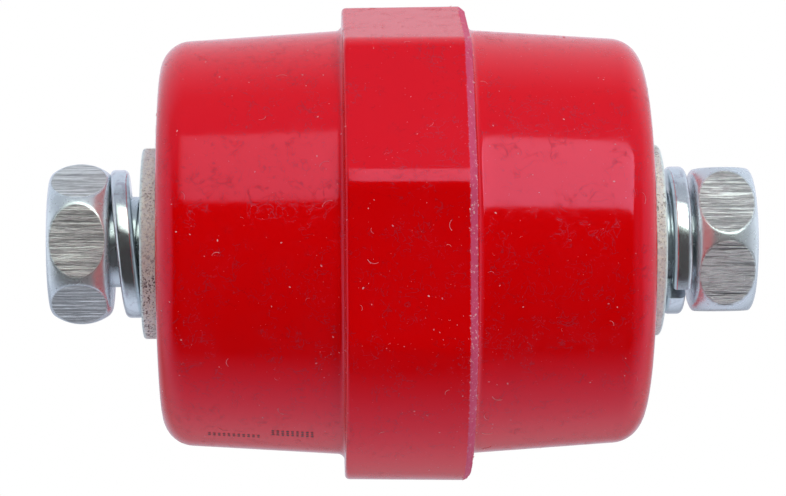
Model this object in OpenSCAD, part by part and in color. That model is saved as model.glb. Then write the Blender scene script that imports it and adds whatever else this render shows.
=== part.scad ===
// Drum standoff insulator with a screw at each end.
// The screws' common axis is X, the origin is halfway between the two end faces,
// and the body rests on the lowest flat of its collar, which faces -Z.

/* [Body] */
// Height of the insulator, from end face to end face
body_height = 40; // [36:0.5:60]
// Diameter of the body where it meets the collar
drum_d = 35.5; // [32:0.1:37]
// Draft of each half of the body, in degrees
drum_draft = 3.7; // [1:0.1:5]
// Radius between the side and the end face
end_round = 2.6; // [1:0.1:4]

/* [Collar] */
// Diameter of the collar at the parting line
collar_d = 40; // [39:0.5:50]
// Distance across two opposite flats
collar_flats = 37.6; // [37.3:0.1:39]
// Flats in each of the two groups
flats_per_group = 3; // [1:1:4]
// Angle from one flat to the next
flat_pitch = 40; // [36:1:45]
// Width of the collar on the left of the centre
collar_left = 4.9; // [3:0.1:6]
// Width of the collar on the right, up to the parting line
collar_right = 5.5; // [3:0.1:6]
// Draft of the collar, in degrees
collar_draft = 1; // [0:0.5:3]
// Bevel on the left edge
collar_bevel = 0.35; // [0.1:0.05:0.8]
// Bevel that trimming the flash left on the right edge
flash_bevel = 0.5; // [0.1:0.05:1]

/* [Inserts] */
// Thread diameter
thread_d = 8; // [6:1:8]
// Outside diameter at the mouth and at the hexagon's corners
insert_d = 13; // [12:0.5:15]
// Distance across the flats of the hexagon bands
insert_flats = 12; // [11:0.5:14]
// Diameter at the bottom of the grooves
insert_groove_d = 10.8; // [10:0.1:12]
// Metal left under the threaded hole
insert_floor = 1.2; // [0.8:0.1:3]
// Length of the round mouth
mouth_len = 2.4; // [1.5:0.1:3]
// Width of a groove
groove_w = 1.6; // [1:0.1:2]
// Chamfer at the start of the thread
mouth_chamfer = 0.5; // [0.2:0.1:0.8]

/* [Screws] */
// Length under the head
screw_len = 16; // [12:1:18]
// Distance across the flats of the head
head_flats = 11.9; // [11:0.1:14]
// Largest diameter of the barrel-shaped head, over its rounded corners
head_corners = 13.4; // [13.2:0.1:16]
// Diameter of the head at its two faces
head_end_d = 11.5; // [10.5:0.1:13]
// Height of the head
head_h = 5.15; // [4:0.05:7]
// Chamfer at the tip
tip_chamfer = 0.9; // [0.3:0.1:1.2]

/* [Washers] */
// Outside diameter of the flat washer
washer_d = 16; // [14:0.5:20]
// Thickness of the flat washer
washer_t = 1.6; // [1:0.1:2]
// Rounding of the punched washer's outer edge
washer_edge = 0.25; // [0.1:0.05:0.4]
// Outside diameter of the spring washer
spring_d = 12.4; // [11.5:0.1:14]
// Thickness of the spring washer's section
spring_t = 1.6; // [1:0.1:2]
// Play that the relaxed spring washer takes up between head and flat washer
spring_free_rise = 0.96; // [0.8:0.02:1.6]
// Rise of the spring washer over one turn
spring_pitch = 0.45; // [0.3:0.05:0.8]
// Angle that the spring washer's split leaves open
split_angle = 9; // [4:1:20]

/* [Clearances] */
// Radial clearance between screw and insert
thread_clear = 0.05; // [0.02:0.01:0.1]
// Radial clearance of the flat washer's hole round the thread
washer_clear = 0.2; // [0.1:0.05:0.4]
// Radial clearance of the spring washer's hole round the thread
spring_clear = 0.1; // [0.05:0.05:0.3]
// Least gap at each end of the relaxed spring washer
spring_end_gap = 0.03; // [0.02:0.01:0.1]
// Room left under the screw's tip
tip_clear = 1.02; // [0.5:0.02:2]

/* [Hidden] */
$fn = 96;
// Segments round a spring washer
SPRING_STEPS = 40;
// Overshoot of a cutter past the surface that it cuts
OVER = 1;
half_h = body_height / 2;
screw_d = thread_d - 2 * thread_clear;
// Space between the flat washer and the head
spring_gap = spring_t + spring_free_rise + 2 * spring_end_gap;
// The left spring washer leans from flat washer to head, highest between top and back
left_lean_turn = 27;
// How far it leans at its rim, short of either neighbour
left_lean = min(
    spring_free_rise / 2 + spring_pitch / 6,
    (spring_free_rise - spring_pitch) / 2 / sin(left_lean_turn)
);
// The bearing face of each screw head
head_x = half_h + washer_t + spring_gap;
// Middle of the gap that the spring washer fills
spring_x = half_h + washer_t + spring_gap / 2;
hole_depth = screw_len - washer_t - spring_gap + tip_clear;
insert_len = hole_depth + insert_floor;
hex_band_len = (insert_len - mouth_len - 2 * groove_w) / 2;
// Where the split of each spring washer stands: the left one at the back,
// the right one low at the front
left_split = -90;
right_split = -50;
// Turn of each screw's head: a flat to the front on the left, a corner on the right
left_head_turn = 18;
right_head_turn = 12;

// Lays a shape whose axis is Z along X, with its top outward on the right
module right_end() {
    rotate([0, 90, 0]) children();
}

// The same on the left, turned about Z so that threads keep their hand
module left_end() {
    rotate([0, 0, 180]) rotate([0, 90, 0]) children();
}

// One half of the body's outline, from the centre plane to an end face
module drum_half_outline(collar_side) {
    round_z = half_h - end_round;
    line_r = drum_d / 2 - (round_z - collar_side) * tan(drum_draft);
    round_r = line_r - end_round / cos(drum_draft);
    polygon([
        [0, 0],
        [drum_d / 2, 0],
        [drum_d / 2, collar_side],
        [round_r + end_round * cos(drum_draft), round_z + end_round * sin(drum_draft)],
        [round_r, round_z],
        [round_r, half_h],
        [0, half_h]
    ]);
    translate([round_r, round_z]) circle(r = end_round);
}

// Round collar, drawn with its axis along Z and the parting line at the top
module collar_blank() {
    rise = tan(collar_draft);
    top_r = collar_d / 2;
    side_z = collar_right - flash_bevel;
    low_z = collar_bevel - collar_left;
    side_r = top_r - flash_bevel;
    low_r = top_r - (side_z - low_z) * rise;
    rotate_extrude() polygon([
        [0, -collar_left],
        [low_r - collar_bevel, -collar_left],
        [low_r, low_z],
        [top_r, side_z],
        [side_r, collar_right],
        [0, collar_right]
    ]);
}

// Cutter for one flat of the collar, facing the front before it is turned
module flat_cutter() {
    w = collar_left + collar_right + 2 * OVER;
    translate([-collar_left - OVER, -collar_d, -collar_d / 2])
        cube([w, collar_d - collar_flats / 2, collar_d]);
}

module collar() {
    difference() {
        right_end() collar_blank();
        for (side = [0, 180], i = [0 : flats_per_group - 1])
            rotate([side - 90 + i * flat_pitch, 0, 0]) flat_cutter();
    }
}

// Outside of an insert with its mouth at the top of the body
module insert_blank() {
    mouth_z = half_h - mouth_len;
    bottom_z = half_h - insert_len;
    translate([0, 0, mouth_z]) cylinder(d = insert_d, h = mouth_len);
    translate([0, 0, bottom_z]) cylinder(d = insert_groove_d, h = insert_len);
    for (i = [0, 1])
        translate([0, 0, bottom_z + i * (hex_band_len + groove_w)]) intersection() {
            cylinder(d = insert_flats / cos(30), h = hex_band_len, $fn = 6);
            cylinder(d = insert_d, h = hex_band_len);
        }
}

module insert() {
    difference() {
        insert_blank();
        translate([0, 0, half_h - hole_depth]) cylinder(d = thread_d, h = hole_depth + OVER);
        translate([0, 0, half_h - mouth_chamfer])
            cylinder(d1 = thread_d, d2 = thread_d + 2 * mouth_chamfer, h = mouth_chamfer);
    }
}

// Barrel with six oval flats, standing on the plane z = 0
module screw_head() {
    bulge = (head_corners - head_end_d) / 2;
    bulge_r = (pow(head_h / 2, 2) + pow(bulge, 2)) / (2 * bulge);
    intersection() {
        cylinder(d = head_flats / cos(30), h = head_h, $fn = 6);
        rotate_extrude() intersection() {
            translate([head_corners / 2 - bulge_r, head_h / 2]) circle(r = bulge_r);
            square([head_corners, head_h]);
        }
    }
}

module screw(turn) {
    translate([0, 0, head_x]) rotate([0, 0, turn]) screw_head();
    translate([0, 0, head_x - screw_len]) {
        cylinder(d1 = screw_d - 2 * tip_chamfer, d2 = screw_d, h = tip_chamfer);
        translate([0, 0, tip_chamfer]) cylinder(d = screw_d, h = screw_len - tip_chamfer);
    }
}

module flat_washer() {
    hole_r = thread_d / 2 + washer_clear;
    edge_r = washer_d / 2 - washer_edge;
    translate([0, 0, half_h]) rotate_extrude() union() {
        translate([hole_r, 0]) square([edge_r - hole_r, washer_t]);
        translate([hole_r, 0]) square([washer_d / 2 - hole_r, washer_t - washer_edge]);
        translate([edge_r, washer_t - washer_edge]) circle(r = washer_edge);
    }
}

// Height of the spring washer's middle at angle a past its split and u up the lean
function spring_rise(a, u, lean) =
    spring_pitch * (0.5 - a / 360) + lean * u / (spring_d / 2);

// Left-hand helical slab, wider than the washer, cut to its round walls afterwards
module spring_slab(split, lean) {
    inner = thread_d / 4;
    outer = spring_d;
    first = split_angle / 2;
    step = (360 - split_angle) / SPRING_STEPS;
    ring_points = [
        for (i = [0 : SPRING_STEPS])
            let (a = first + i * step, at = split + a)
                for (r = [inner, outer], side = [-1, 1])
                    [
                        r * cos(at), r * sin(at),
                        spring_rise(a, -r * cos(at - left_lean_turn), lean)
                            + side * spring_t / 2
                    ]
    ];
    // Corners of one cross-section in order: inner low, outer low, outer high, inner high
    loop = [0, 2, 3, 1];
    last = 4 * SPRING_STEPS;
    sides = [
        for (i = [0 : SPRING_STEPS - 1], k = [0 : 3])
            let (p = 4 * i + loop[k], q = 4 * i + loop[(k + 1) % 4])
                each [[p, p + 4, q + 4], [p, q + 4, q]]
    ];
    ends = [
        [loop[0], loop[1], loop[2]], [loop[0], loop[2], loop[3]],
        [last + loop[0], last + loop[2], last + loop[1]],
        [last + loop[0], last + loop[3], last + loop[2]]
    ];
    polyhedron(points = ring_points, faces = concat(sides, ends), convexity = 4);
}

module spring_washer(split, lean) {
    translate([0, 0, spring_x]) intersection() {
        difference() {
            cylinder(d = spring_d, h = 3 * spring_gap, center = true);
            cylinder(r = thread_d / 2 + spring_clear, h = 4 * spring_gap, center = true);
        }
        spring_slab(split, lean);
    }
}

module insulator_body() {
    color("firebrick") difference() {
        union() {
            right_end() rotate_extrude() drum_half_outline(collar_right);
            left_end() rotate_extrude() drum_half_outline(collar_left);
            collar();
        }
        right_end() insert_blank();
        left_end() insert_blank();
    }
}

module left_insert() {
    color("goldenrod") left_end() insert();
}

module left_flat_washer() {
    color("lightsteelblue") left_end() flat_washer();
}

module left_spring_washer() {
    color("silver") left_end() spring_washer(left_split, left_lean);
}

module left_bolt() {
    color("gainsboro") left_end() screw(left_head_turn);
}

module right_insert() {
    color("goldenrod") right_end() insert();
}

module right_flat_washer() {
    color("lightsteelblue") right_end() flat_washer();
}

module right_spring_washer() {
    color("silver") right_end() spring_washer(right_split, 0);
}

module right_bolt() {
    color("gainsboro") right_end() screw(right_head_turn);
}

insulator_body();
left_insert();
left_flat_washer();
left_spring_washer();
left_bolt();
right_insert();
right_flat_washer();
right_spring_washer();
right_bolt();
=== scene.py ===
"""A drum standoff insulator: one red moulding with a flatted collar round its middle, and
in each end a threaded insert, a flat washer, a split spring washer and a hex screw.

Every end piece is drawn in an end frame, whose Z runs outward along the screw, and is then
laid along X at its own end. All lengths are metres."""

import math

import bmesh
import bpy
from mathutils import Matrix, Vector, noise


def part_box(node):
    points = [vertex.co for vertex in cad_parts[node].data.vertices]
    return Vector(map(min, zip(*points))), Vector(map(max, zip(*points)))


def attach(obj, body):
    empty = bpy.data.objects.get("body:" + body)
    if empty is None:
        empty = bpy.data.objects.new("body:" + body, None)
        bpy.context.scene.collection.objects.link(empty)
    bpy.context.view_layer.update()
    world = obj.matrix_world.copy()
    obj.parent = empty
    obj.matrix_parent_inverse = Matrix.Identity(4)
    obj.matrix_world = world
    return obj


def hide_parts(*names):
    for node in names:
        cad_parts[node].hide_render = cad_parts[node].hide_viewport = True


bl_info = {
    "name": "Drum Standoff Insulator",
    "version": (1, 0, 0),
    "blender": (4, 5, 0),
    "location": "View3D > Sidebar > Insulator",
    "description": "Makes a moulded standoff insulator with its inserts, screws and washers",
    "category": "Add Mesh",
}

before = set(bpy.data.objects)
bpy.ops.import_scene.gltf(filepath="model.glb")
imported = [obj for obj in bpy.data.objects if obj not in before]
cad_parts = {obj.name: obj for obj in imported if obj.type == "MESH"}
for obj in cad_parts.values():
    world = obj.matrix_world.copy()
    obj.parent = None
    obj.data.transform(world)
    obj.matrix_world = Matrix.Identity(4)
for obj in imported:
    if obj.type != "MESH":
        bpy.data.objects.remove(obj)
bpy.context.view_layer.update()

MM = 0.001
# The two end frames: the right one lays Z along +X, the left one along -X
RIGHT_END = Matrix.Rotation(math.radians(90), 4, "Y")
LEFT_END = Matrix.Rotation(math.radians(180), 4, "Z") @ RIGHT_END
ENDS = {"left": LEFT_END, "right": RIGHT_END}
FLATS_ON_HEAD = 6
SOFTEST_EDGE = math.radians(32)

BODY_LOW, BODY_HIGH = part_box("insulator_body")
WASHER_LOW, WASHER_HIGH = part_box("right_flat_washer")
SPRING_LOW, SPRING_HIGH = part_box("right_spring_washer")
SCREW_LOW, SCREW_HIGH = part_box("right_bolt")
INSERT_LOW, INSERT_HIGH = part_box("right_insert")


# ---------------------------------------------------------------- settings


def length(name, description, metres):
    """A size that a user may change."""
    return bpy.props.FloatProperty(
        name=name, description=description, default=metres,
        min=0.0, subtype="DISTANCE", unit="LENGTH", precision=5,
    )


def angle(name, description, degrees):
    """An angle that a user may change."""
    return bpy.props.FloatProperty(
        name=name, description=description, default=math.radians(degrees),
        subtype="ANGLE", unit="ROTATION",
    )


def amount(name, description, default):
    """A plain number that a user may change."""
    return bpy.props.FloatProperty(name=name, description=description, default=default)


def colour(name, description, rgb):
    """A colour that a user may change."""
    return bpy.props.FloatVectorProperty(
        name=name, description=description, default=rgb,
        size=3, min=0.0, max=1.0, subtype="COLOR",
    )


class MouldingSettings(bpy.types.PropertyGroup):
    """Sizes and colours of the red moulding."""

    half_height: length("Half Height", "From the middle to an end face", BODY_HIGH.x)
    drum_radius: length("Drum Radius", "Radius where the drum meets the collar", 17.75 * MM)
    draft: angle("Draft", "Draft of each half of the drum", 3.7)
    end_round: length("End Round", "Radius between side and end face", 2.6 * MM)
    collar_radius: length("Collar Radius", "Radius at the parting line", 20.0 * MM)
    collar_draft: angle("Collar Draft", "Draft of the collar", 1.0)
    collar_left: length("Collar Left", "Width of the collar left of the middle", 4.9 * MM)
    collar_right: length("Collar Right", "Width up to the parting line", 5.5 * MM)
    flat_distance: length("Flat Distance", "From the axis to a flat", BODY_HIGH.z)
    flat_pitch: angle("Flat Pitch", "Angle from one flat to the next", 40.0)
    corner_round: length("Corner Round", "Radius between two flats", 3.0 * MM)
    edge_round: length("Edge Round", "Radius of the clean left edge", 0.35 * MM)
    trim_width: length("Trim Width", "Bevel left by trimming the flash", 0.5 * MM)
    root_fillet: length("Root Fillet", "Fillet between drum and collar", 0.6 * MM)
    pocket_radius: length("Pocket Radius", "Radius of an insert's seat", 6.5 * MM)
    red: colour("Red", "Colour of the moulding", (0.76, 0.0003, 0.0012))
    deep_red: colour("Deep Red", "Colour of stained patches", (0.55, 0.0003, 0.0010))
    trim_pink: colour("Trim Pink", "Colour of the torn flash", (0.64, 0.060, 0.14))
    trim_white: colour("Trim White", "Glass and filler laid bare", (0.90, 0.60, 0.66))


class LintSettings(bpy.types.PropertyGroup):
    """Dust and fibres that cling to the moulding."""

    fibre_length: length("Fibre Length", "Length of a middling fibre", 0.8 * MM)
    fibre_radius: length("Fibre Radius", "Thickness of a fibre", 0.016 * MM)
    crumb_radius: length("Crumb Radius", "Size of a middling crumb of flash", 0.07 * MM)
    dot_radius: length("Dot Radius", "Radius of one printed dot", 0.12 * MM)
    dot_pitch: length("Dot Pitch", "Distance between printed dots", 0.40 * MM)
    pale: colour("Pale", "Colour of lint", (0.80, 0.42, 0.46))
    ink: colour("Ink", "Colour of the printed dots", (0.030, 0.004, 0.006))


class HardwareSettings(bpy.types.PropertyGroup):
    """Sizes and colours of the inserts, washers and screws."""

    thread_pitch: length("Thread Pitch", "Rise of the thread over one turn", 1.25 * MM)
    thread_radius: length("Thread Radius", "Radius over the screw's crests", 3.95 * MM)
    thread_depth: length("Thread Depth", "Depth of the screw's thread", 0.72 * MM)
    hole_depth: length("Hole Depth", "Depth of the threaded hole", 12.8 * MM)
    head_across_flats: length("Head Flats", "Across two flats of the head", 11.9 * MM)
    head_height: length("Head Height", "From bearing face to end", 5.15 * MM)
    head_radius: length("Head Radius", "Largest radius of the barrel head", 6.7 * MM)
    head_end_radius: length("Head End Radius", "Radius where the barrel meets a face", 5.75 * MM)
    head_edge: length("Head Edge", "Rounding of the head's two rims", 0.35 * MM)
    left_turn: angle("Left Head Turn", "Turn of the left head", 18.0)
    right_turn: angle("Right Head Turn", "Turn of the right head", 12.0)
    spring_section: length("Spring Section", "Thickness of the spring washer", 1.6 * MM)
    spring_rise: length("Spring Rise", "Rise of a spring washer over one turn", 0.45 * MM)
    spring_lean: length("Spring Lean", "Lean of the left spring washer at its rim", 0.54 * MM)
    lean_turn: angle("Lean Turn", "Where it stands highest, from the top to the back", 27.0)
    split: angle("Split", "Gap of a spring washer", 9.0)
    washer_edge: length("Washer Edge", "Rounded edge of the punched washer", 0.25 * MM)
    zinc: colour("Zinc", "Blue-white zinc on screws", (0.74, 0.80, 0.86))
    washer_zinc: colour("Washer Zinc", "Zinc on the washers", (0.78, 0.86, 0.88))
    spring_zinc: colour("Spring Zinc", "Zinc on the spring washers", (0.74, 0.79, 0.84))
    brass: colour("Brass", "Inserts", (0.72, 0.50, 0.20))


class StudioSettings(bpy.types.PropertyGroup):
    """Camera, lights and floor."""

    camera_distance: length("Camera Distance", "From the lens to the axis", 268.0 * MM)
    camera_turn: angle("Camera Turn", "Camera's place round the object", -1.5)
    camera_height: angle("Camera Height", "Camera's angle above the floor", 15.5)
    aim_left: length("Aim Left", "How far left of the middle the camera aims", 0.71 * MM)
    aim_below: length("Aim Below", "How far below the middle it aims", 0.5 * MM)
    lens: amount("Lens", "Focal length in millimetres", 146.1)
    softbox_strength: amount("Softbox Strength", "Radiance of the softbox", 2.5)
    room_strength: amount("Room Strength", "Radiance of the white room behind", 1.3)


# ------------------------------------------------------- shader and node maths


def both_ways(operation):
    """An operator of Wire and its reflected form, each one Math node."""

    def forward(wire, other):
        return wire.worked(operation, wire, other)

    def reflected(wire, other):
        return wire.worked(operation, other, wire)

    return forward, reflected


class Wire:
    """One output socket, with arithmetic that adds Math nodes."""

    def __init__(self, bench, socket):
        self.bench, self.socket = bench, socket

    def worked(self, operation, *terms, clamp=False):
        """A Math node on the terms."""
        return self.bench.add(
            "ShaderNodeMath", {"operation": operation, "use_clamp": clamp},
            dict(enumerate(terms)),
        )

    __add__, __radd__ = both_ways("ADD")
    __sub__, __rsub__ = both_ways("SUBTRACT")
    __mul__, __rmul__ = both_ways("MULTIPLY")
    __truediv__, __rtruediv__ = both_ways("DIVIDE")

    def __abs__(self):
        return self.worked("ABSOLUTE", self)

    def clamped(self):
        return self.worked("ADD", self, 0.0, clamp=True)

    def sine(self):
        return self.worked("SINE", self)

    def cosine(self):
        return self.worked("COSINE", self)

    def step(self, low, high):
        """0 below low, 1 above high, and smooth between."""
        return self.bench.add(
            "ShaderNodeMapRange", {"interpolation_type": "SMOOTHSTEP", "clamp": True},
            {"Value": self, "From Min": low, "From Max": high},
        )


class Bench:
    """Builds nodes in one tree."""

    def __init__(self, tree):
        self.tree = tree
        tree.nodes.clear()

    def add(self, kind, settings=None, inputs=None, output=0):
        """A node of that kind: settings first, then its sockets' values or links."""
        node = self.tree.nodes.new(kind)
        for key, value in (settings or {}).items():
            if key == "stops":
                self._set_stops(node.color_ramp, value)
            else:
                setattr(node, key, value)
        for key, value in (inputs or {}).items():
            if isinstance(value, Wire):
                self.tree.links.new(value.socket, node.inputs[key])
            else:
                node.inputs[key].default_value = value
        outlet = node.outputs[output] if len(node.outputs) else None
        return Wire(self, outlet)

    @staticmethod
    def _set_stops(ramp, stops):
        while len(ramp.elements) > 1:
            ramp.elements.remove(ramp.elements[-1])
        for k, (place, shade) in enumerate(stops):
            stop = ramp.elements[0] if k == 0 else ramp.elements.new(place)
            stop.position = place
            stop.color = (*shade, 1.0) if isinstance(shade, tuple) else (shade,) * 3 + (1.0,)

    def vector(self, x=0.0, y=0.0, z=0.0):
        return self.add("ShaderNodeCombineXYZ", {}, {"X": x, "Y": y, "Z": z})

    def parts(self, vector):
        """The three parts of a vector."""
        node = self.add("ShaderNodeSeparateXYZ", {}, {"Vector": vector}).socket.node
        return tuple(Wire(self, outlet) for outlet in node.outputs)

    def mixed(self, factor, first, second):
        """Two colours, mixed."""
        return self.add(
            "ShaderNodeMix", {"data_type": "RGBA"},
            {0: factor, 6: rgba(first), 7: rgba(second)}, output=2,
        )


def rgba(shade):
    """A colour socket's value, or the wire itself."""
    return shade if isinstance(shade, Wire) else (*tuple(shade)[:3], 1.0)


class Finish(Bench):
    """A material in the making, with patterns on Object coordinates in millimetres."""

    def __init__(self, name):
        self.material = bpy.data.materials.new(name)
        self.material.use_nodes = True
        super().__init__(self.material.node_tree)
        self.place = self.add("ShaderNodeTexCoord", output="Object")

    def stretched(self, x, y, z):
        """The place, scaled to repeats a millimetre along each axis."""
        return self.add(
            "ShaderNodeMapping", {"vector_type": "POINT"},
            {"Vector": self.place, "Scale": (x / MM, y / MM, z / MM)},
        )

    def cloud(self, per_mm, detail=3.0, roughness=0.55, distortion=0.0, spot=None):
        """Soft noise, about 0 to 1."""
        across = spot or self.stretched(per_mm, per_mm, per_mm)
        return self.add(
            "ShaderNodeTexNoise", {"noise_dimensions": "3D"},
            {"Vector": across, "Scale": 1.0, "Detail": detail,
             "Roughness": roughness, "Distortion": distortion},
        )

    def cells(self, per_mm):
        """Distance to the nearest of many scattered spots."""
        return self.add(
            "ShaderNodeTexVoronoi", {"voronoi_dimensions": "3D", "feature": "F1"},
            {"Vector": self.stretched(per_mm, per_mm, per_mm), "Scale": 1.0},
        )

    def mark(self, name):
        """The strength of a mark that the mesh carries."""
        return self.add(
            "ShaderNodeAttribute", {"attribute_type": "GEOMETRY", "attribute_name": name},
            output="Fac",
        )

    def bump(self, height, depth, strength=1.0):
        return self.add(
            "ShaderNodeBump", {}, {"Height": height, "Distance": depth, "Strength": strength},
            output="Normal",
        )

    def coat(self, **sockets):
        """Ends the material in one Principled shader."""
        given = {key.replace("_", " "): value for key, value in sockets.items()}
        shader = self.add("ShaderNodeBsdfPrincipled", {}, given)
        self.add("ShaderNodeOutputMaterial", {}, {"Surface": shader})
        return self.material

    def glow(self, shade, strength):
        """Ends the material in one Emission shader."""
        light = self.add("ShaderNodeEmission", {}, {"Color": rgba(shade), "Strength": strength})
        self.add("ShaderNodeOutputMaterial", {}, {"Surface": light})
        return self.material


# -------------------------------------------------------------- materials


def red_moulding(made):
    """Glossy thermoset with stains, hairline scratches and a torn, pale trim line."""
    f = Finish("red moulding")
    stain = f.cloud(0.16, 5.0, 0.62, 0.8).step(0.46, 0.66)
    mottle = f.cloud(0.9, 5.0, 0.68, 0.5).step(0.50, 0.68)
    curl = f.cloud(0.42, 2.2, 0.5, 1.5)
    hairline = 1.0 - abs(curl - 0.5).step(0.003, 0.012)
    finer = f.cloud(0.85, 2.2, 0.5, 1.1)
    scratch = 1.0 - abs(finer - 0.47).step(0.004, 0.018)
    broken = f.cloud(0.7, 3.0, 0.6).step(0.44, 0.52)
    patchy = f.cloud(0.16, 3.0, 0.6).step(0.40, 0.50)
    dirt = ((hairline + scratch) * broken * patchy).clamped()
    scuff = f.cloud(2.4, 5.0, 0.75, 0.8).step(0.54, 0.64) * stain
    speck = 1.0 - f.cells(1.6).step(0.03, 0.07)
    grain = f.cloud(3.2, 4.0, 0.75)
    torn = (f.mark("trim") + (grain - 0.5) * 1.1).step(0.34, 0.60)
    base = f.mixed((dirt * 0.9 + scuff * 0.35).clamped(), made.red, made.deep_red)
    base = f.mixed(speck * 0.22, base, made.trim_white)
    pale = f.mixed(grain.step(0.56, 0.74), made.trim_pink, made.trim_white)
    base = f.mixed(torn, base, pale)
    rough = (
        0.095 + mottle * 0.05 + stain * 0.03 + dirt * 0.24 + scuff * 0.22 + torn * 0.45
    ).clamped()
    relief = f.cloud(0.8, 2.0) * 0.25 + dirt * -0.5 + torn * grain * 3.0
    return f.coat(
        Base_Color=base, Roughness=rough, IOR=1.5, Specular_Tint=(1.0, 0.54, 1.0, 1.0),
        Normal=f.bump(relief, 0.012 * MM, 0.5),
    )


def lint(made):
    """Pale dust and fibres, pinker where they are thin."""
    f = Finish("pale lint")
    tone = f.cloud(1.1, 2.0).step(0.35, 0.65)
    base = f.mixed(tone, made.pale, (0.74, 0.16, 0.22))
    return f.coat(Base_Color=base, Roughness=0.7)


def ink(made):
    """Thin black print that lets the red through in places."""
    f = Finish("printed ink")
    worn = f.cloud(4.0, 3.0, 0.7).step(0.52, 0.66)
    base = f.mixed(worn * 0.7, made.ink, (0.30, 0.004, 0.010))
    return f.coat(Base_Color=base, Roughness=0.45)


def zinc_screw(made):
    """Blue-white zinc: smooth on the barrel, drawn with grooves on the oval flats. The ovals'
    colour also carries painted light: a dark grey for the dark room they reflect, and pale
    stripes for glints along the grooves.
    """
    f = Finish("zinc screw")
    oval = f.mark("oval")
    groove = f.cloud(1.0, 3.0, 0.6, spot=f.stretched(0.16, 5.5, 5.5))
    fine = f.cloud(1.0, 4.0, 0.7, spot=f.stretched(0.8, 15.0, 15.0))
    drawn = (groove * 0.55 + fine * 0.45).step(0.40, 0.60)
    blotch = f.cloud(0.55, 3.0).step(0.35, 0.7)
    pit = 1.0 - f.cells(2.6).step(0.10, 0.20)
    pits = pit * f.cloud(0.5, 2.0).step(0.46, 0.6)
    shade = f.mixed(blotch * 0.30, made.zinc, (0.62, 0.66, 0.72))
    shade = f.mixed(pits * 0.55, shade, (0.20, 0.21, 0.24))
    # Painted reflection on the ovals: the drawn grain is real, but its dark grey stands in for
    # the dark room they reflect, and its pale stripes, which follow the groove relief, are
    # painted glints.
    oval_grain_and_painted_reflection = f.mixed(drawn, (0.30, 0.31, 0.32), (0.95, 0.97, 0.98))
    base = f.mixed(oval, shade, oval_grain_and_painted_reflection)
    rough = (0.24 + blotch * 0.06 + oval * 0.08).clamped()
    metal = (0.70 + oval * 0.12).clamped()
    relief = oval * drawn + (1.0 - oval) * (blotch * 0.05 - pits * 0.35)
    return f.coat(
        Base_Color=base, Roughness=rough, Metallic=metal,
        Normal=f.bump(relief, 0.05 * MM, 0.8),
    )


def zinc_washer(made):
    """Zinc over a punched blank, with a grainy, torn rim."""
    f = Finish("zinc washer")
    torn = f.mark("torn")
    grain = f.cloud(3.6, 5.0, 0.8)
    band = f.cloud(0.16, 2.0).step(0.44, 0.60)
    pit = f.cloud(5.0, 3.0, 0.7).step(0.54, 0.59) * (0.35 + band * 0.65)
    warm = f.mixed(grain.step(0.40, 0.60), made.washer_zinc, (0.93, 0.99, 0.93))
    base = f.mixed(torn, made.washer_zinc, warm)
    base = f.mixed((torn * pit).clamped(), base, (0.10, 0.09, 0.10))
    rough = (0.28 + torn * 0.20 + grain * 0.10).clamped()
    metal = 0.80 - torn * 0.60
    relief = grain * (0.12 + torn * 1.4) - torn * pit
    return f.coat(
        Base_Color=base, Roughness=rough, Metallic=metal,
        Normal=f.bump(relief, 0.06 * MM, 0.8),
    )


def spring_steel(made):
    """Bright zinc over coiled wire, with faint lines and blotches from plating."""
    f = Finish("spring steel")
    blotch = f.cloud(1.0, 3.0, 0.6, 0.4)
    grain = f.cloud(5.0, 3.0, 0.7)
    base = f.mixed(blotch.step(0.50, 0.66) * 0.5, made.spring_zinc, (0.46, 0.42, 0.50))
    rough = (0.10 + blotch * 0.10 + grain * 0.06).clamped()
    return f.coat(
        Base_Color=base, Roughness=rough, Metallic=0.88,
        Normal=f.bump(blotch + grain * 0.15, 0.03 * MM, 0.5),
    )


def turned_brass(made):
    """Turned brass, with rings left by the tool."""
    f = Finish("turned brass")
    ring = f.cloud(1.0, 2.0, 0.5, spot=f.stretched(9.0, 0.05, 0.05))
    tarnish = f.cloud(0.6, 3.0).step(0.4, 0.7)
    base = f.mixed(tarnish * 0.5, made.brass, (0.45, 0.30, 0.11))
    return f.coat(
        Base_Color=base, Roughness=(0.26 + ring * 0.12).clamped(), Metallic=1.0,
        Normal=f.bump(ring, 0.01 * MM, 0.4),
    )


# ------------------------------------------------------------------ meshes


def turned(name, rings, sides, mark_name):
    """A closed skin round Z. A ring is a function of the angle, giving the height, the
    radius and the mark there; a single (height,) closes the skin at the axis."""
    skin = bmesh.new()
    marks = skin.verts.layers.float.new(mark_name)
    rows = []
    for ring in rings:
        if not callable(ring):
            rows.append([skin.verts.new((0.0, 0.0, ring[0]))])
            continue
        row = []
        for k in range(sides):
            turn = 2 * math.pi * k / sides
            height, radius, mark = ring(turn)
            point = skin.verts.new((radius * math.cos(turn), radius * math.sin(turn), height))
            point[marks] = mark
            row.append(point)
        rows.append(row)
    for low, high in zip(rows, rows[1:]):
        for k in range(sides):
            nxt = (k + 1) % sides
            if len(low) == 1:
                skin.faces.new((low[0], high[nxt], high[k]))
            elif len(high) == 1:
                skin.faces.new((low[k], low[nxt], high[0]))
            else:
                skin.faces.new((low[k], low[nxt], high[nxt], high[k]))
    bmesh.ops.recalc_face_normals(skin, faces=skin.faces)
    mesh = bpy.data.meshes.new(name)
    skin.to_mesh(mesh)
    skin.free()
    return mesh


def plain_ring(height, radius, mark=0.0):
    """A round ring for turned()."""
    return lambda turn: (height, radius, mark)


def smooth(mesh):
    """Smooth faces with crisp edges where they turn sharply."""
    mesh.polygons.foreach_set("use_smooth", [True] * len(mesh.polygons))
    mesh.set_sharp_from_angle(angle=SOFTEST_EDGE)
    mesh.update()


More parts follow.
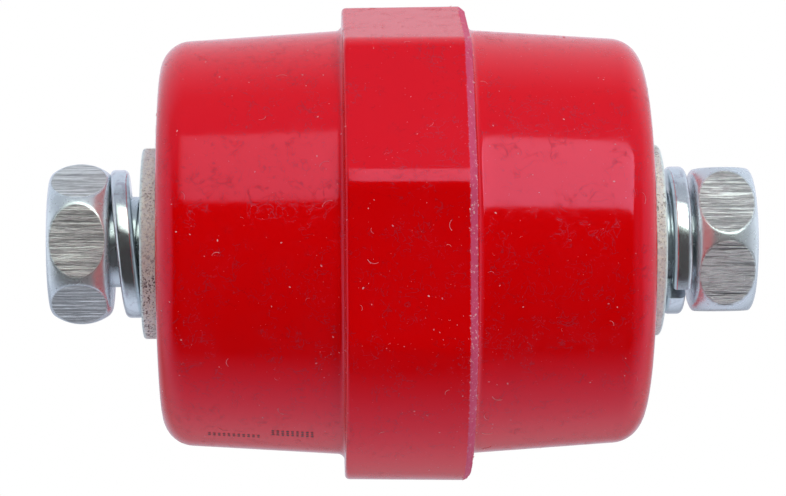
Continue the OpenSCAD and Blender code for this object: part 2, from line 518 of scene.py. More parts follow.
def piece(name, mesh, material, matrix=None):
    """A mesh as an object at the origin, with its place in its mesh."""
    if matrix is not None:
        mesh.transform(matrix)
    smooth(mesh)
    mesh.materials.clear()
    mesh.materials.append(material)
    mesh.name = name
    made = bpy.data.objects.new(name, mesh)
    bpy.context.scene.collection.objects.link(made)
    return made


def joined(name, meshes):
    """Several closed meshes as one."""
    whole = bmesh.new()
    for mesh in meshes:
        whole.from_mesh(mesh)
    mesh = bpy.data.meshes.new(name)
    whole.to_mesh(mesh)
    whole.free()
    return mesh


def settle(made, body, slot, *nodes):
    """Tells the frame what the piece rides on and hides the parts that it replaces. The slot is
    not used.
    """
    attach(made, body)
    if nodes:
        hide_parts(*nodes)


# --------------------------------------------------------- geometry nodes


def node_group(name, inputs):
    """A Geometry Nodes tree with named inputs: (name, socket type, default)."""
    tree = bpy.data.node_groups.new(name, "GeometryNodeTree")
    tree.interface.new_socket("Geometry", in_out="INPUT", socket_type="NodeSocketGeometry")
    for label, kind, default in inputs:
        socket = tree.interface.new_socket(label, in_out="INPUT", socket_type=kind)
        if default is not None:
            socket.default_value = default
    tree.interface.new_socket("Geometry", in_out="OUTPUT", socket_type="NodeSocketGeometry")
    bench = Bench(tree)
    entry = tree.nodes.new("NodeGroupInput")
    return tree, bench, lambda label: Wire(bench, entry.outputs[label])


def finish_tree(bench, geometry, material):
    """Ends a tree in Realize Instances and Set Material."""
    whole = bench.add("GeometryNodeRealizeInstances", {}, {"Geometry": geometry})
    dressed = bench.add(
        "GeometryNodeSetMaterial", {}, {"Geometry": whole, "Material": material}
    )
    bench.add("NodeGroupOutput", {}, {"Geometry": dressed})


def grown(host_mesh, tree, values):
    """The plain mesh that a tree makes from a host mesh."""
    host = bpy.data.objects.new("host", host_mesh or bpy.data.meshes.new("host"))
    bpy.context.scene.collection.objects.link(host)
    modifier = host.modifiers.new("grown", "NODES")
    modifier.node_group = tree
    names = {
        item.name: item.identifier
        for item in tree.interface.items_tree
        if item.item_type == "SOCKET" and item.in_out == "INPUT"
    }
    for label, value in values.items():
        modifier[names[label]] = value
    graph = bpy.context.evaluated_depsgraph_get()
    mesh = bpy.data.meshes.new_from_object(host.evaluated_get(graph), depsgraph=graph)
    host.modifiers.remove(modifier)
    bpy.data.objects.remove(host)
    if not mesh.polygons:
        raise RuntimeError(f"{tree.name} made no faces")
    return mesh


def coil_tree(material):
    """Sweeps a four-sided section along a coil: spring washers and screw threads."""
    tree, bench, value = node_group("coiled section", [
        ("Radius", "NodeSocketFloat", 0.005), ("Turns", "NodeSocketFloat", 1.0),
        ("Rise", "NodeSocketFloat", 0.001), ("Start", "NodeSocketFloat", 0.0),
        ("Base", "NodeSocketFloat", 0.0), ("Depth", "NodeSocketFloat", 0.001),
        ("Inner Width", "NodeSocketFloat", 0.001), ("Outer Width", "NodeSocketFloat", 0.001),
        ("Rounding", "NodeSocketFloat", 0.0001), ("Lean", "NodeSocketFloat", 0.0),
        ("Lean Turn", "NodeSocketFloat", 0.0),
        ("Steps", "NodeSocketInt", 64), ("Right Hand", "NodeSocketBool", False),
    ])
    spiral = bench.add("GeometryNodeCurveSpiral", {}, {
        "Resolution": value("Steps"), "Rotations": value("Turns"),
        "Start Radius": value("Radius"), "End Radius": value("Radius"),
        "Height": value("Rise"), "Reverse": value("Right Hand"),
    })
    upright = bench.add("GeometryNodeSetCurveNormal", {"mode": "Z_UP"}, {"Curve": spiral})
    section = bench.add(
        "GeometryNodeCurvePrimitiveQuadrilateral", {"mode": "TRAPEZOID"},
        {"Height": value("Depth"), "Bottom Width": value("Inner Width"),
         "Top Width": value("Outer Width"), "Offset": 0.0},
    )
    softened = bench.add(
        "GeometryNodeFilletCurve", {"mode": "POLY"},
        {"Curve": section, "Count": 4, "Radius": value("Rounding"), "Limit Radius": True},
    )
    turned_section = bench.add(
        "GeometryNodeTransform", {},
        {"Geometry": softened, "Rotation": (0.0, 0.0, math.radians(-90))},
    )
    swept = bench.add(
        "GeometryNodeCurveToMesh", {},
        {"Curve": upright, "Profile Curve": turned_section, "Fill Caps": True},
    )
    placed = bench.add("GeometryNodeTransform", {}, {
        "Geometry": swept, "Rotation": bench.vector(z=value("Start")),
        "Translation": bench.vector(z=value("Base")),
    })
    x, y, _ = bench.parts(bench.add("GeometryNodeInputPosition"))
    uphill = x * value("Lean Turn").cosine() + y * value("Lean Turn").sine()
    lean = bench.vector(z=uphill * -1.0 * value("Lean"))
    leaning = bench.add("GeometryNodeSetPosition", {}, {"Geometry": placed, "Offset": lean})
    finish_tree(bench, leaning, material)
    return tree


def scatter_tree(name, grain_of, material):
    """Strews one small shape over a host skin, where the host's mark allows it."""
    tree, bench, value = node_group(name, [
        ("Density", "NodeSocketFloat", 100.0), ("Seed", "NodeSocketInt", 1),
        ("Size", "NodeSocketFloat", 0.001), ("Thickness", "NodeSocketFloat", 0.0001),
        ("Clump Low", "NodeSocketFloat", 0.4), ("Clump High", "NodeSocketFloat", 0.7),
    ])
    zone = bench.add(
        "GeometryNodeInputNamedAttribute", {"data_type": "FLOAT"}, {"Name": "lint_zone"}
    )
    cloud = bench.add(
        "ShaderNodeTexNoise", {"noise_dimensions": "3D"}, {"Scale": 0.22 / MM, "Detail": 2.0}
    )
    clump = bench.add(
        "ShaderNodeMapRange", {"clamp": True},
        {"Value": cloud, "From Min": value("Clump Low"), "From Max": value("Clump High")},
    )
    points = bench.add(
        "GeometryNodeDistributePointsOnFaces", {"distribute_method": "RANDOM"},
        {"Mesh": value("Geometry"), "Density": value("Density") * zone * clump,
         "Seed": value("Seed")},
    )
    facing = Wire(bench, points.socket.node.outputs["Rotation"])
    spin = bench.add(
        "FunctionNodeRandomValue", {"data_type": "FLOAT"},
        {2: 0.0, 3: 2 * math.pi, "Seed": value("Seed") + 3.0}, output=1,
    )
    facing = bench.add(
        "FunctionNodeRotateRotation", {"rotation_space": "LOCAL"},
        {"Rotation": facing, "Rotate By": bench.vector(z=spin)},
    )
    grow = bench.add(
        "FunctionNodeRandomValue", {"data_type": "FLOAT"},
        {2: 0.0, 3: 1.0, "Seed": value("Seed") + 7.0}, output=1,
    )
    scale = (0.35 + grow * grow * 1.3) * value("Size")
    strewn = bench.add("GeometryNodeInstanceOnPoints", {}, {
        "Points": points, "Instance": grain_of(bench, value("Thickness") / value("Size")),
        "Rotation": facing,
        "Scale": bench.vector(scale, scale, scale),
    })
    finish_tree(bench, strewn, material)
    return tree


def curved_fibre(bench, thickness):
    """A short fibre of unit length that bends a little."""
    arc = bench.add("GeometryNodeCurveArc", {"mode": "RADIUS"}, {
        "Resolution": 7, "Radius": 0.55, "Start Angle": 0.0, "Sweep Angle": 1.7,
    })
    centred = bench.add("GeometryNodeTransform", {}, {
        "Geometry": arc, "Translation": (-0.38, -0.38, 0.01),
    })
    wire = bench.add("GeometryNodeCurvePrimitiveCircle", {"mode": "RADIUS"}, {
        "Resolution": 4, "Radius": thickness,
    })
    return bench.add("GeometryNodeCurveToMesh", {}, {
        "Curve": centred, "Profile Curve": wire, "Fill Caps": True,
    })


def ragged_crumb(bench, thickness):
    """A flake about as long as it is wide."""
    ball = bench.add("GeometryNodeMeshIcoSphere", {}, {"Radius": 1.0, "Subdivisions": 1})
    flat = bench.vector(1.0, 0.6, thickness)
    return bench.add("GeometryNodeTransform", {}, {"Geometry": ball, "Scale": flat})


def dot_tree(material):
    """A full block of printed dots, wrapped on the drum."""
    tree, bench, value = node_group("printed dots", [
        ("Columns", "NodeSocketInt", 18), ("Rows", "NodeSocketInt", 6),
        ("Pitch", "NodeSocketFloat", 0.0004), ("Dot Radius", "NodeSocketFloat", 0.0001),
        ("Along", "NodeSocketFloat", -0.01), ("Round", "NodeSocketFloat", 0.0),
        ("Drum Radius", "NodeSocketFloat", 0.0177), ("Slope", "NodeSocketFloat", 0.06),
    ])
    grid = bench.add("GeometryNodeMeshGrid", {}, {
        "Size X": (value("Columns") - 1.0) * value("Pitch"),
        "Size Y": (value("Rows") - 1.0) * value("Pitch"),
        "Vertices X": value("Columns"), "Vertices Y": value("Rows"),
    })
    u, v, lift = bench.parts(bench.add("GeometryNodeInputPosition"))
    dot = bench.add("GeometryNodeMeshCylinder", {}, {
        "Vertices": 10, "Radius": value("Dot Radius"), "Depth": 0.03 * MM,
    })
    dots = bench.add("GeometryNodeInstanceOnPoints", {}, {
        "Points": grid, "Instance": dot,
    })
    loose = bench.add("GeometryNodeRealizeInstances", {}, {"Geometry": dots})
    along = value("Along") + u
    radius = value("Drum Radius") - value("Slope") * abs(along) + lift
    turn = value("Round") + v / value("Drum Radius")
    wrapped = bench.vector(along, radius * turn.cosine() * -1.0, radius * turn.sine())
    wound = bench.add(
        "GeometryNodeSetPosition", {}, {"Geometry": loose, "Position": wrapped}
    )
    finish_tree(bench, wound, material)
    return tree


# ---------------------------------------------------------------- moulding


def drum_radius_at(made, distance, shoulder):
    """Radius of the drum that far from the middle, on the side where the collar ends at
    shoulder."""
    return made.drum_radius - (distance - shoulder) * math.tan(made.draft)


def collar_outline(made, turn, round_radius, inset):
    """Radius of the collar at an angle: flats on a round, with soft corners."""
    flat = made.flat_distance - inset
    whole = round_radius - inset
    soft = made.corner_round
    flats = [side + k * made.flat_pitch for side in (0.0, math.pi) for k in range(3)]
    offsets = [math.remainder(turn - a, 2 * math.pi) for a in flats]
    near = min(range(len(flats)), key=lambda k: abs(offsets[k]))
    off = offsets[near]
    neighbour = any(
        abs(math.remainder(flats[near] + math.copysign(made.flat_pitch, off) - a, 2 * math.pi))
        < 1e-6 for a in flats
    )
    if neighbour:
        corner = made.flat_pitch / 2
        centre = (flat - soft) / math.cos(corner)
    else:
        corner = math.acos((flat - soft) / (whole - soft))
        centre = whole - soft
    starts = math.atan(centre * math.sin(corner) / flat)
    past = abs(off)
    if past <= starts:
        return min(flat / math.cos(past), whole)
    if past > corner:
        return whole
    return min(
        centre * math.cos(corner - past)
        + math.sqrt(soft ** 2 - (centre * math.sin(corner - past)) ** 2), whole,
    )


def ragged(turn, height, step):
    """Seeded roughness between -1 and 1 round the parting line."""
    spot = Vector((math.cos(turn), math.sin(turn), 0.0)) * (1 / step) + Vector((0, 0, height))
    return noise.noise(spot * 0.02)


def half_drum_rings(made, shoulder, sign):
    """Rings of one half, from the bottom of its pocket to the collar's root. The left half
    has sign -1."""
    face = made.half_height - 0.01 * MM
    insert_floor = INSERT_LOW.x
    lip = 0.15 * MM
    rings = [
        (sign * insert_floor,),
        plain_ring(sign * insert_floor, made.pocket_radius),
        plain_ring(sign * (face - lip), made.pocket_radius),
        plain_ring(sign * face, made.pocket_radius + lip),
    ]
    round_start = made.half_height - made.end_round
    line = drum_radius_at(made, round_start, shoulder)
    centre = line - made.end_round / math.cos(made.draft)
    for k in range(3):
        rings.append(plain_ring(sign * face, made.pocket_radius + lip
                                + (centre - made.pocket_radius - lip) * (k + 1) / 3))
    steps = 12
    for k in range(1, steps + 1):
        t = math.pi / 2 + (made.draft - math.pi / 2) * k / steps
        rings.append(plain_ring(
            sign * min(round_start + made.end_round * math.sin(t), face),
            centre + made.end_round * math.cos(t),
        ))
    root = shoulder + made.root_fillet
    steps = 14
    for k in range(1, steps + 1):
        along = round_start + (root - round_start) * k / steps
        rings.append(plain_ring(sign * along, drum_radius_at(made, along, shoulder)))
    line = drum_radius_at(made, root, shoulder)
    steps = 6
    for k in range(1, steps + 1):
        t = math.pi / 2 * k / steps
        rings.append(plain_ring(
            sign * (root - made.root_fillet * math.sin(t)),
            line + made.root_fillet * (1 - math.cos(t)),
        ))
    return rings


def collar_rings(made):
    """Rings of the collar from its clean left edge to its trimmed right edge."""
    rise = math.tan(made.collar_draft)
    trim_start = made.collar_right - made.trim_width

    def band(height, inset, mark=0.0, rough=0.0, seed=0.0):
        whole = made.collar_radius - (trim_start - min(height, trim_start)) * rise

        def ring(turn):
            wild = ragged(turn, seed, 0.0011) if rough else 0.0
            finer = ragged(turn, seed + 40, 0.00035) if rough else 0.0
            jag = rough * (0.6 * wild + 0.6 * finer)
            cut = inset + max(jag, -inset)
            up = height - (abs(jag) * 0.9 if rough else 0.0)
            return up, collar_outline(made, turn, whole, cut), mark

        return ring

    rings = []
    steps = 4
    for k in range(steps + 1):
        t = math.pi / 2 * k / steps
        rings.append(band(
            -made.collar_left + made.edge_round * (1 - math.cos(t)),
            made.edge_round * (1 - math.sin(t)),
        ))
    steps = 8
    low = -made.collar_left + made.edge_round
    high = trim_start - 0.25 * MM
    for k in range(1, steps + 1):
        rings.append(band(low + (high - low) * k / steps, 0.0))
    rings.append(band(trim_start - 0.08 * MM, 0.0, 0.55, 0.03 * MM, 3.0))
    rings.append(band(trim_start + 0.05 * MM, 0.06 * MM, 1.0, 0.07 * MM, 9.0))
    rings.append(band(trim_start + 0.25 * MM, 0.20 * MM, 1.0, 0.10 * MM, 17.0))
    rings.append(band(made.collar_right, 0.42 * MM, 1.0, 0.10 * MM, 23.0))
    rings.append(band(made.collar_right, made.trim_width + 0.15 * MM, 0.4))
    return rings


class INSULATOR_OT_moulding(bpy.types.Operator):
    """Make the red moulding with its collar, trim line and insert seats"""

    bl_idname = "insulator.moulding"
    bl_label = "Moulding"

    def execute(self, context):
        made = context.scene.insulator_moulding
        rings = half_drum_rings(made, made.collar_left, -1)
        rings += collar_rings(made)
        rings += half_drum_rings(made, made.collar_right, 1)[::-1]
        mesh = turned("moulding", rings, 720, "trim")
        moulding = piece("moulding", mesh, red_moulding(made), RIGHT_END)
        settle(moulding, "insulator", "red_moulding", "insulator_body")
        return {"FINISHED"}


def strewn_host(zone):
    """A copy of the moulding's skin whose lint_zone mark is zone(point, trim)."""
    mesh = bpy.data.objects["moulding"].data.copy()
    marks = mesh.attributes.new("lint_zone", "FLOAT", "POINT")
    trims = mesh.attributes["trim"].data
    marks.data.foreach_set("value", [
        float(zone(v.co, trims[v.index].value)) for v in mesh.vertices
    ])
    return mesh


class INSULATOR_OT_lint(bpy.types.Operator):
    """Strew dust, fibres and crumbs of flash over the moulding"""

    bl_idname = "insulator.lint"
    bl_label = "Lint and Crumbs"

    def execute(self, context):
        made = context.scene.insulator_moulding
        soft = context.scene.insulator_lint
        pale = lint(soft)
        skin_radius = made.pocket_radius * 2

        def outside(point, trim):
            if math.hypot(point.y, point.z) < skin_radius:
                return 0.0
            beside = abs(abs(point.x) - made.collar_right) < 2.2 * MM
            return 2.2 if beside else 1.0

        def by_trim(point, trim):
            return trim > 0.3

        fibres = scatter_tree("fibres", curved_fibre, pale)
        crumbs = scatter_tree("crumbs", ragged_crumb, pale)
        strewings = [
            ("lint_fibres", fibres, outside, 0.045, 11, soft.fibre_length,
             soft.fibre_radius, 0.35, 0.62),
            ("lint_dust", crumbs, outside, 0.22, 23, soft.crumb_radius, 0.3, 0.35, 0.62),
            ("flash_crumbs", crumbs, by_trim, 3.2, 31, soft.crumb_radius * 1.3, 0.5, 0.3, 0.6),
        ]
        for name, tree, zone, per_mm2, seed, size, thickness, low, high in strewings:
            mesh = grown(strewn_host(zone), tree, {
                "Density": per_mm2 / MM ** 2, "Seed": seed, "Size": size,
                "Thickness": thickness if tree is fibres else thickness * size,
                "Clump Low": low, "Clump High": high,
            })
            settle(piece(name, mesh, pale), "insulator", "red_moulding")
        return {"FINISHED"}


class INSULATOR_OT_dots(bpy.types.Operator):
    """Print two blocks of plain rows of dots, low on the left of the drum"""

    bl_idname = "insulator.dots"
    bl_label = "Printed Dots"

    def execute(self, context):
        made = context.scene.insulator_moulding
        soft = context.scene.insulator_lint
        black = ink(soft)
        tree = dot_tree(black)
        slope = math.tan(made.draft)
        blocks = [(9, 3, -9.2, -47.5), (11, 2, -14.0, -50.5)]
        meshes = [
            grown(None, tree, {
                "Columns": columns, "Rows": rows, "Pitch": soft.dot_pitch,
                "Dot Radius": soft.dot_radius, "Along": along * MM,
                "Round": math.radians(turn), "Slope": slope,
                "Drum Radius": made.drum_radius + made.collar_left * slope,
            })
            for columns, rows, along, turn in blocks
        ]
        dots = piece("printed_dots", joined("printed_dots", meshes), black)
        settle(dots, "insulator", "red_moulding")
        return {"FINISHED"}


# ---------------------------------------------------------------- hardware

FIRST_RIDGE = 0.8 * MM  # from the bottom of the hole to where its thread starts
SUNK = 0.03 * MM  # how far a ridge's foot lies inside the metal that carries it
RIDGE_ROUNDING = 0.03 * MM


def thread_ridge(tree, gear, root, crest, root_width, crest_width, low, high, start):
    """A thread's ridge between two heights. It winds left-handed, unlike a standard thread."""
    return grown(None, tree, {
        "Radius": (root + crest) / 2, "Depth": abs(crest - root),
        "Inner Width": root_width if crest > root else crest_width,
        "Outer Width": crest_width if crest > root else root_width,
        "Turns": (high - low) / gear.thread_pitch, "Rise": high - low, "Base": low,
        "Start": start, "Rounding": RIDGE_ROUNDING, "Lean": 0.0, "Steps": 48,
        "Right Hand": False,
    })


class INSULATOR_OT_inserts(bpy.types.Operator):
    """Make the two threaded inserts"""

    bl_idname = "insulator.inserts"
    bl_label = "Inserts"

    def execute(self, context):
        gear = context.scene.insulator_hardware
        brass = turned_brass(gear)
        ridges = coil_tree(brass)
        mouth = INSERT_HIGH.x - 0.02 * MM
        floor = INSERT_LOW.x + 0.01 * MM
        outer = 6.48 * MM
        bevel = 0.15 * MM
        drill_point = 0.3 * MM
        bore = gear.thread_radius + 0.05 * MM
        bottom = INSERT_HIGH.x - gear.hole_depth
        lead = 0.5 * MM
        crest = gear.thread_radius - gear.thread_depth + 0.12 * MM
        rings = [
            (floor,), plain_ring(floor, outer), plain_ring(mouth - bevel, outer),
            plain_ring(mouth, outer - bevel), plain_ring(mouth, bore + lead),
            plain_ring(mouth - lead, bore), plain_ring(bottom, bore),
            (bottom - drill_point,),
        ]
        for end, matrix in ENDS.items():
            tube = turned(f"{end}_insert", rings, 96, "turned")
            ridge = thread_ridge(
                ridges, gear, bore + SUNK, crest, 1.08 * MM, 0.24 * MM,
                bottom + FIRST_RIDGE, mouth - lead, 0.0,
            )
            insert = piece(
                f"{end}_insert_brass", joined(f"{end}_insert", [tube, ridge]), brass, matrix
            )
            settle(insert, "insulator", "insert_brass", f"{end}_insert")
        return {"FINISHED"}


def barrel_radius(gear, up, tall):
    """Radius of the barrel head at a height, with its two rims rounded."""
    bulge = gear.head_radius - gear.head_end_radius
    arc = ((tall / 2) ** 2 + bulge ** 2) / (2 * bulge)
    swell = gear.head_radius - arc + math.sqrt(arc ** 2 - (up - tall / 2) ** 2)
    edge = gear.head_edge
    rim = min(up, tall - up)
    if rim < edge:
        swell -= edge - math.sqrt(edge ** 2 - (edge - rim) ** 2)
    return swell


def head_rings(gear, low, tall, turn_of_head):
    """Rings of a barrel head cut by six flats, which leaves six ovals."""
    flat = gear.head_across_flats / 2
    blend = 0.10 * MM

    def ring_at(up):
        barrel = barrel_radius(gear, up, tall)

        def ring(turn):
            sector = 2 * math.pi / FLATS_ON_HEAD
            off = math.remainder(turn - turn_of_head - sector / 2, sector)
            cut = flat / math.cos(off)
            near = max(blend - abs(barrel - cut), 0.0) / blend
            radius = min(barrel, cut) - near * near * blend / 4
            mark = min(max((barrel - cut) / (0.05 * MM), 0.0), 1.0)
            return low + up, radius, mark

        return ring

    edge = gear.head_edge
    heights = [edge * (1 - math.cos(math.pi / 2 * k / 5)) for k in range(6)]
    middle = [edge + (tall - 2 * edge) * k / 52 for k in range(1, 52)]
    ups = heights + middle + [tall - h for h in reversed(heights)]
    return [(low,)] + [ring_at(up) for up in ups] + [(low + tall,)]


def bearing_face(gear):
    """How far out a screw head bears on its spring washer."""
    return SCREW_HIGH.x - gear.head_height


class INSULATOR_OT_screws(bpy.types.Operator):
    """Make the two hex screws with their threads"""

    bl_idname = "insulator.screws"
    bl_label = "Screws"

    def execute(self, context):
        gear = context.scene.insulator_hardware
        zinc = zinc_screw(gear)
        ridges = coil_tree(zinc)
        tip, top = SCREW_LOW.x, SCREW_HIGH.x
        bearing = bearing_face(gear)
        core = gear.thread_radius - gear.thread_depth + SUNK
        ridge_low = tip + 0.7 * MM
        neck = 3.62 * MM
        inside_head = bearing + 0.3 * MM
        shank = [
            (tip,), plain_ring(tip, core - 0.6 * MM), plain_ring(ridge_low, core),
            plain_ring(bearing - 1.3 * MM, core), plain_ring(bearing - 0.9 * MM, neck),
            plain_ring(inside_head, neck), (inside_head,),
        ]
        half_pitch = gear.thread_pitch / 2
        insert_phase = INSERT_HIGH.x - gear.hole_depth + FIRST_RIDGE + half_pitch
        start = (ridge_low - insert_phase) / gear.thread_pitch * 2 * math.pi
        turns = {"left": gear.left_turn, "right": gear.right_turn}
        for end, matrix in ENDS.items():
            head = turned(
                f"{end}_head", head_rings(gear, bearing, top - bearing, turns[end]), 480, "oval"
            )
            stem = turned(f"{end}_stem", shank, 64, "oval")
            ridge = thread_ridge(
                ridges, gear, core - SUNK, gear.thread_radius, 1.0 * MM, 0.16 * MM,
                ridge_low, bearing - 1.2 * MM, start,
            )
            screw = piece(
                f"{end}_screw", joined(f"{end}_screw", [head, stem, ridge]), zinc, matrix
            )
            settle(screw, f"{end}_screw", "zinc_screw", f"{end}_bolt")
        return {"FINISHED"}


class INSULATOR_OT_spring_washers(bpy.types.Operator):
    """Make the two spring washers, wound right-handed, of which the left one leans"""

    bl_idname = "insulator.spring_washers"
    bl_label = "Spring Washers"

    def execute(self, context):
        gear = context.scene.insulator_hardware
        steel = spring_steel(gear)
        tree = coil_tree(steel)
        rim = (SPRING_HIGH.y - SPRING_LOW.y) / 2
        hole = gear.thread_radius + 0.15 * MM
        wire_rounding = 0.42 * MM
        middle = (WASHER_HIGH.x + bearing_face(gear)) / 2
        turns = 1 - gear.split / (2 * math.pi)
        rise = gear.spring_rise * turns
        splits = {"left": (-90, gear.spring_lean), "right": (-50, 0.0)}
        for end, matrix in ENDS.items():
            at, lean = splits[end]
            mesh = grown(None, tree, {
                "Radius": (rim + hole) / 2, "Depth": rim - hole,
                "Inner Width": gear.spring_section, "Outer Width": gear.spring_section * 0.97,
                "Turns": turns, "Rise": rise, "Base": middle - rise / 2,
                "Start": math.radians(at) - gear.split / 2, "Rounding": wire_rounding,
                "Lean": lean / rim, "Lean Turn": gear.lean_turn, "Steps": 120,
                "Right Hand": True,
            })
            washer = piece(f"{end}_split_washer", mesh, steel, matrix)
            settle(washer, f"{end}_spring", "spring_steel", f"{end}_spring_washer")
        return {"FINISHED"}


class INSULATOR_OT_flat_washers(bpy.types.Operator):
    """Make the two punched flat washers"""

    bl_idname = "insulator.flat_washers"
    bl_label = "Flat Washers"

    def execute(self, context):
        gear = context.scene.insulator_hardware
        zinc = zinc_washer(gear)
        low, high = WASHER_LOW.x, WASHER_HIGH.x
        rim = WASHER_HIGH.y
        hole = 4.2 * MM
        edge = gear.washer_edge
        burr = 0.06 * MM
        tear = 0.05 * MM

        def rim_ring(height, inset, torn):
            def ring(turn):
                wild = ragged(turn, height / MM * 9, 0.0009)
                return height, rim - inset - torn * tear * (0.5 + wild), torn

            return ring

        for end, matrix in ENDS.items():
            rings = [plain_ring(low + burr, hole), plain_ring(high - burr, hole),
                     plain_ring(high, hole + burr), plain_ring(high, rim - edge * 1.6)]
            for k in range(1, 6):
                t = math.pi / 2 * k / 5
                rings.append(rim_ring(
                    high - edge * (1 - math.cos(t)), edge * (1 - math.sin(t)), 0.15 * k
                ))
            steps = 9
            for k in range(1, steps + 1):
                rings.append(rim_ring(
                    high - edge + (low + burr - high + edge) * k / steps, 0.0,
                    1.0 if k > 1 else 0.8,
                ))
            rings += [plain_ring(low, rim - burr * 2, 0.3), plain_ring(low, hole + burr),
                      plain_ring(low + burr, hole)]
            mesh = turned(f"{end}_flat", rings, 360, "torn")
            clean = bmesh.new()
            clean.from_mesh(mesh)
            bmesh.ops.remove_doubles(clean, verts=clean.verts, dist=1e-7)
            bmesh.ops.recalc_face_normals(clean, faces=clean.faces)
            clean.to_mesh(mesh)
            clean.free()
            washer = piece(f"{end}_punched_washer", mesh, zinc, matrix)
            settle(washer, f"{end}_washer", "zinc_washer", f"{end}_flat_washer")
        return {"FINISHED"}


# ------------------------------------------------------------------- stage


def panel_mesh(name, wide, tall, centre, towards, roll=0.0):
    """A flat panel that faces a point, rolled about the line to it."""
    mesh = bpy.data.meshes.new(name)
    w, t = wide / 2, tall / 2
    mesh.from_pydata([(-w, -t, 0), (w, -t, 0), (w, t, 0), (-w, t, 0)], [], [(0, 1, 2, 3)])
    facing = (towards - centre).to_track_quat("Z", "Y").to_matrix().to_4x4()
    mesh.transform(Matrix.Translation(centre) @ facing @ Matrix.Rotation(roll, 4, "Z"))
    return mesh


def glowing(name, shade, strength):
    """A plain emitting material."""
    return Finish(name).glow(shade, strength)


def softbox_glow(studio):
    """A softbox that is a little brighter towards the right."""
    f = Finish("softbox")
    side, _, _ = f.parts(f.place)
    return f.glow((1.08, 1.20, 1.06), (0.84 + side * 2.3) * studio.softbox_strength)


def stage_piece(name, mesh, material):
    mesh.materials.append(material)
    made = bpy.data.objects.new(name, mesh)
    bpy.context.scene.collection.objects.link(made)
    return made


def studio_room(studio):
    """A room that is white behind the object and dark in front of it."""
    world = bpy.data.worlds.new("studio room")
    bpy.context.scene.world = world
    world.use_nodes = True
    b = Bench(world.node_tree)
    side, back, up = b.parts(b.add("ShaderNodeTexCoord", output="Generated"))
    c, s = math.cos(studio.camera_height), math.sin(studio.camera_height)
    towards = up * s - back * c
    above = back * s + up * c
    round_angle = b.add(
        "ShaderNodeMath", {"operation": "ARCTAN2"}, {0: above, 1: towards}
    )
    place = round_angle / (2 * math.pi) + 0.5
    # Neutral and blue light by degrees above the line of sight, as shares of the white room
    shares = [(-180, 0.50, 0.60), (-150, 0.24, 0.34), (-121, 0.36, 0.66),
              (-106, 0.26, 0.66), (-90, 0.16, 0.52), (-74, 0.03, 0.22), (-63, 0.0, 0.0),
              (22, 0.0, 0.0), (60, 0.04, 0.40), (78, 0.02, 0.40), (89, 0.02, 0.36),
              (100, 0.08, 0.50), (111, 0.16, 0.60), (121, 0.28, 0.64), (130, 0.38, 0.66),
              (144, 0.52, 0.68), (157, 0.58, 0.70), (180, 0.70, 0.78)]
    stops = [((d + 180) / 360, (max(g, 0.80 * v), max(g, 0.87 * v), v)) for d, g, v in shares]
    ramp = b.add("ShaderNodeValToRGB", {"stops": stops}, {"Fac": place})
    left_end = (side * -1.0).step(0.72, 0.92)
    right_end = side.step(0.36, 0.62) * 0.35 + side.step(0.80, 0.95) * 0.65
    ends = (left_end + right_end).clamped() * 0.75
    bright = b.mixed(ends, ramp, (0.80, 0.84, 0.90))
    seen = b.add("ShaderNodeLightPath", output="Is Camera Ray")
    shown = b.mixed(seen, bright, (1.0, 1.0, 1.0))
    strength = b.add(
        "ShaderNodeMix", {"data_type": "FLOAT"},
        {0: seen, 2: studio.room_strength, 3: 1.0}, output=0,
    )
    glow = b.add("ShaderNodeBackground", {}, {"Color": shown, "Strength": strength})
    b.add("ShaderNodeOutputWorld", {}, {"Surface": glow})


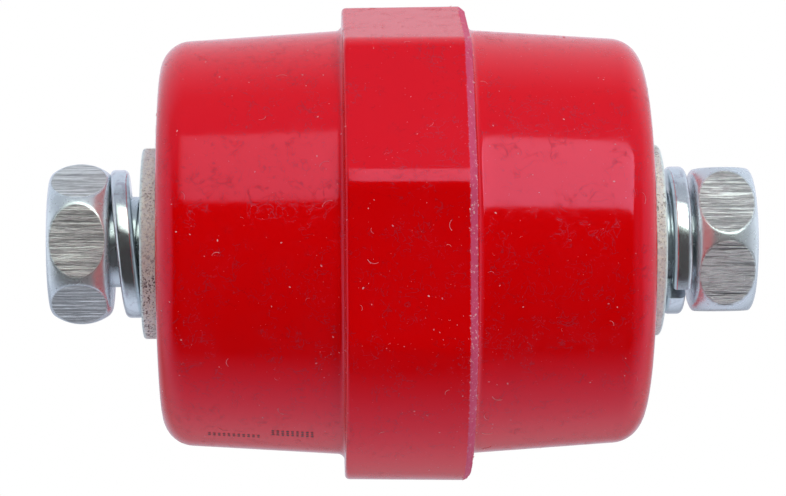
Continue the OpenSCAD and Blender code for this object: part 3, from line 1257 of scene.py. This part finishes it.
class INSULATOR_OT_stage(bpy.types.Operator):
    """Set up the camera, the pale floor, the softbox and the white room"""

    bl_idname = "insulator.stage"
    bl_label = "Stage"

    def execute(self, context):
        studio = context.scene.insulator_studio
        scene = context.scene
        turn, height = studio.camera_turn, studio.camera_height
        back = Vector((
            math.sin(turn) * math.cos(height), -math.cos(turn) * math.cos(height),
            math.sin(height),
        ))
        right = Vector((math.cos(turn), math.sin(turn), 0.0))
        up = back.cross(right)
        aim = right * -studio.aim_left + up * -studio.aim_below
        camera_data = bpy.data.cameras.new("camera")
        camera_data.lens = studio.lens
        camera_data.sensor_width = 36.0
        camera_data.clip_start, camera_data.clip_end = 0.01, 10.0
        camera = bpy.data.objects.new("camera", camera_data)
        camera.rotation_mode = "QUATERNION"
        camera.location = aim + back * studio.camera_distance
        camera.rotation_quaternion = back.to_track_quat("Z", "Y")
        scene.collection.objects.link(camera)
        scene.camera = camera

        floor_level = BODY_LOW.z - 0.05 * MM
        floor = stage_piece(
            "floor",
            panel_mesh("floor", 3.0, 3.0, Vector((0, 0, floor_level)), Vector((0, 0, 1))),
            glowing("pale floor", (1.0, 1.0, 1.0), 1.0),
        )
        floor.visible_glossy = floor.visible_diffuse = floor.visible_shadow = False

        lift = height + math.radians(40)
        reach = 0.5
        centre = Vector((0.0, -math.cos(lift), math.sin(lift))) * reach
        softbox = stage_piece(
            "softbox",
            panel_mesh("softbox", 0.62, 2 * reach * math.tan(math.radians(19)), centre,
                       Vector((0, 0, 0)), math.radians(12)),
            softbox_glow(studio),
        )
        softbox.visible_camera = False
        fills = [("top fill", 0.6, Vector((0.0, -0.12, 0.5)), 0.62),
                 ("front fill", 0.6, Vector((0.0, -0.5, 0.02)), 0.46),
                 ("low fill", 0.6, Vector((0.0, -0.25, -0.45)), 0.75)]
        for name, wide, spot, watts in fills:
            data = bpy.data.lights.new(name, "AREA")
            data.size = wide
            data.energy = watts
            lamp = bpy.data.objects.new(name, data)
            lamp.rotation_mode = "QUATERNION"
            lamp.location = spot
            lamp.rotation_quaternion = spot.to_track_quat("Z", "Y")
            scene.collection.objects.link(lamp)
            lamp.visible_glossy = False
            lamp.visible_camera = False
        studio_room(studio)
        scene.view_settings.view_transform = "Standard"
        scene.view_settings.look = "None"
        return {"FINISHED"}


class INSULATOR_PT_panel(bpy.types.Panel):
    """Lists what makes each piece"""

    bl_idname = "INSULATOR_PT_panel"
    bl_label = "Standoff Insulator"
    bl_space_type = "VIEW_3D"
    bl_region_type = "UI"
    bl_category = "Insulator"

    def draw(self, context):
        for operator in OPERATORS:
            self.layout.operator(operator.bl_idname)
        for group in SETTINGS:
            settings = getattr(context.scene, group)
            box = self.layout.box()
            box.label(text=type(settings).__doc__)
            for key in settings.__annotations__:
                box.prop(settings, key)


SETTINGS = {
    "insulator_moulding": MouldingSettings,
    "insulator_lint": LintSettings,
    "insulator_hardware": HardwareSettings,
    "insulator_studio": StudioSettings,
}
OPERATORS = [
    INSULATOR_OT_stage, INSULATOR_OT_moulding, INSULATOR_OT_lint, INSULATOR_OT_dots,
    INSULATOR_OT_inserts, INSULATOR_OT_flat_washers, INSULATOR_OT_spring_washers,
    INSULATOR_OT_screws,
]


def register():
    for group in SETTINGS.values():
        bpy.utils.register_class(group)
    for key, group in SETTINGS.items():
        setattr(bpy.types.Scene, key, bpy.props.PointerProperty(type=group))
    for operator in OPERATORS:
        bpy.utils.register_class(operator)
    bpy.utils.register_class(INSULATOR_PT_panel)


def unregister():
    bpy.utils.unregister_class(INSULATOR_PT_panel)
    for operator in reversed(OPERATORS):
        bpy.utils.unregister_class(operator)
    for key, group in SETTINGS.items():
        delattr(bpy.types.Scene, key)
        bpy.utils.unregister_class(group)


def main():
    register()
    for operator in OPERATORS:
        group, name = operator.bl_idname.split(".")
        getattr(getattr(bpy.ops, group), name)()


if __name__ == "__main__":
    main()
